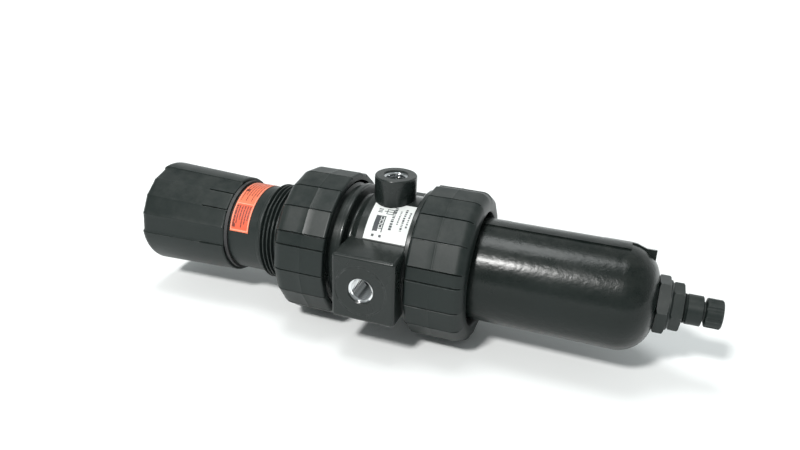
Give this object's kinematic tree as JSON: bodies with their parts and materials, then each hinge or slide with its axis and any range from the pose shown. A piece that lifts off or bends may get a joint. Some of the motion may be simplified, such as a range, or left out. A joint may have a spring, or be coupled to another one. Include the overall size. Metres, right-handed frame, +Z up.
{
  "type": "air pressure regulator",
  "caption": "In-line air pressure regulator with filter bowl: push-to-lock knob, two faceted clamp collars, threaded side ports, top gauge port and twist drain.",
  "frame": {"origin": "middle of the part's box, on the surface that it lies on", "axes": "+X along the main axis from the knob to the drain, ports along Y with the inlet at -Y, +Z up through the gauge port"},
  "size_m": [0.2784, 0.084, 0.0763],
  "materials": {
    "black_casting": "gloss black enamel on die-cast zinc",
    "black_bowl": "gloss black enamel on steel",
    "black_plastic": "moulded, soft sheen",
    "label_white": "printed film",
    "label_orange": "printed film",
    "steel": "zinc plated",
    "brass": "turned",
    "rubber": "nitrile",
    "diaphragm": "cloth-reinforced nitrile",
    "white_plastic": "acetal",
    "filter_media": "sintered, porous",
    "clear": "clear nylon",
    "aluminium": "pressed"
  },
  "bodies": {
    "body": {"body": "black_casting", "name_label": "label_white", "bonnet": "black_plastic", "warning_label": "label_orange", "knob_lock_ring": "rubber", "thrust_washer": "white_plastic", "valve_seat": "brass", "valve_spring": "steel", "valve_cage": "white_plastic", "cage_o_ring": "rubber", "deflector": "white_plastic", "filter_element": "filter_media", "element_retainer": "white_plastic"},
    "bonnet_slip": {"bonnet_slip_ring": "white_plastic"},
    "bonnet_collar": {"bonnet_collar": "black_plastic"},
    "bowl": {"bowl": "black_bowl", "bowl_o_ring": "rubber", "sight_cover": "black_bowl", "sight_lens": "clear", "drain_ring": "black_plastic", "drain_body": "black_plastic", "drain_gasket": "rubber", "drain_nut": "black_plastic"},
    "bowl_collar": {"bowl_collar": "black_plastic"},
    "screw": {"adjusting_screw": "steel"},
    "knob": {"knob": "black_plastic"},
    "spring_nut": {"spring_nut": "brass"},
    "diaphragm_stack": {"diaphragm_top_plate": "aluminium", "diaphragm": "diaphragm", "diaphragm_bottom_plate": "aluminium", "control_spring": "steel"},
    "valve": {"valve_stem": "brass", "valve_seal": "rubber"},
    "drain_knob": {"drain_knob": "black_plastic"},
    "drain_pin": {"drain_pin": "brass"}
  },
  "joints": [
    {"name": "bonnet_collar_turn", "type": "hinge", "parent": "bonnet_slip", "child": "bonnet_collar", "pos_m": [-0.042, 0, 0.036], "axis": [-1, 0, 0], "range_deg": [0, 1920]},
    {"name": "bonnet_collar_travel", "type": "slide", "parent": "body", "child": "bonnet_slip", "axis": [-1, 0, 0], "range_m": [0, 0.0161]},
    {"name": "bowl_collar_turn", "type": "hinge", "parent": "bowl", "child": "bowl_collar", "pos_m": [0.021, 0, 0.036], "axis": [1, 0, 0], "range_deg": [0, 1920]},
    {"name": "bowl_travel", "type": "slide", "parent": "body", "child": "bowl", "axis": [1, 0, 0], "range_m": [0, 0.0161]},
    {"name": "screw_turn", "type": "hinge", "parent": "body", "child": "screw", "pos_m": [-0.11, 0, 0.036], "axis": [1, 0, 0], "range_deg": [0, 2880]},
    {"name": "knob_pull", "type": "slide", "parent": "screw", "child": "knob", "axis": [-1, 0, 0], "range_m": [0, 0.004]},
    {"name": "spring_nut_travel", "type": "slide", "parent": "body", "child": "spring_nut", "axis": [1, 0, 0], "range_m": [0, 0.0121], "deforming": ["control_spring"]},
    {"name": "diaphragm_lift", "type": "slide", "parent": "body", "child": "diaphragm_stack", "axis": [1, 0, 0], "range_m": [0, 0.0015], "stiffness_N_per_m": 600, "deforming": ["diaphragm", "control_spring"]},
    {"name": "valve_lift", "type": "slide", "parent": "body", "child": "valve", "axis": [1, 0, 0], "range_m": [0, 0.0016], "deforming": ["valve_spring"]},
    {"name": "drain_knob_turn", "type": "hinge", "parent": "bowl", "child": "drain_knob", "pos_m": [0.136, 0, 0.036], "axis": [1, 0, 0], "range_deg": [0, 180]},
    {"name": "drain_pin_travel", "type": "slide", "parent": "bowl", "child": "drain_pin", "axis": [-1, 0, 0], "range_m": [0, 0.0016]}
  ],
  "couplings": [
    {"joint": "bonnet_collar_travel", "follows": "bonnet_collar_turn", "m_per_rad": 0.00047746},
    {"joint": "bowl_travel", "follows": "bowl_collar_turn", "m_per_rad": 0.00047746},
    {"joint": "spring_nut_travel", "follows": "screw_turn", "m_per_rad": 0.00023873},
    {"joint": "valve_lift", "follows": "diaphragm_lift", "ratio": 1},
    {"joint": "drain_pin_travel", "follows": "drain_knob_turn", "m_per_rad": 0.00047746}
  ]
}
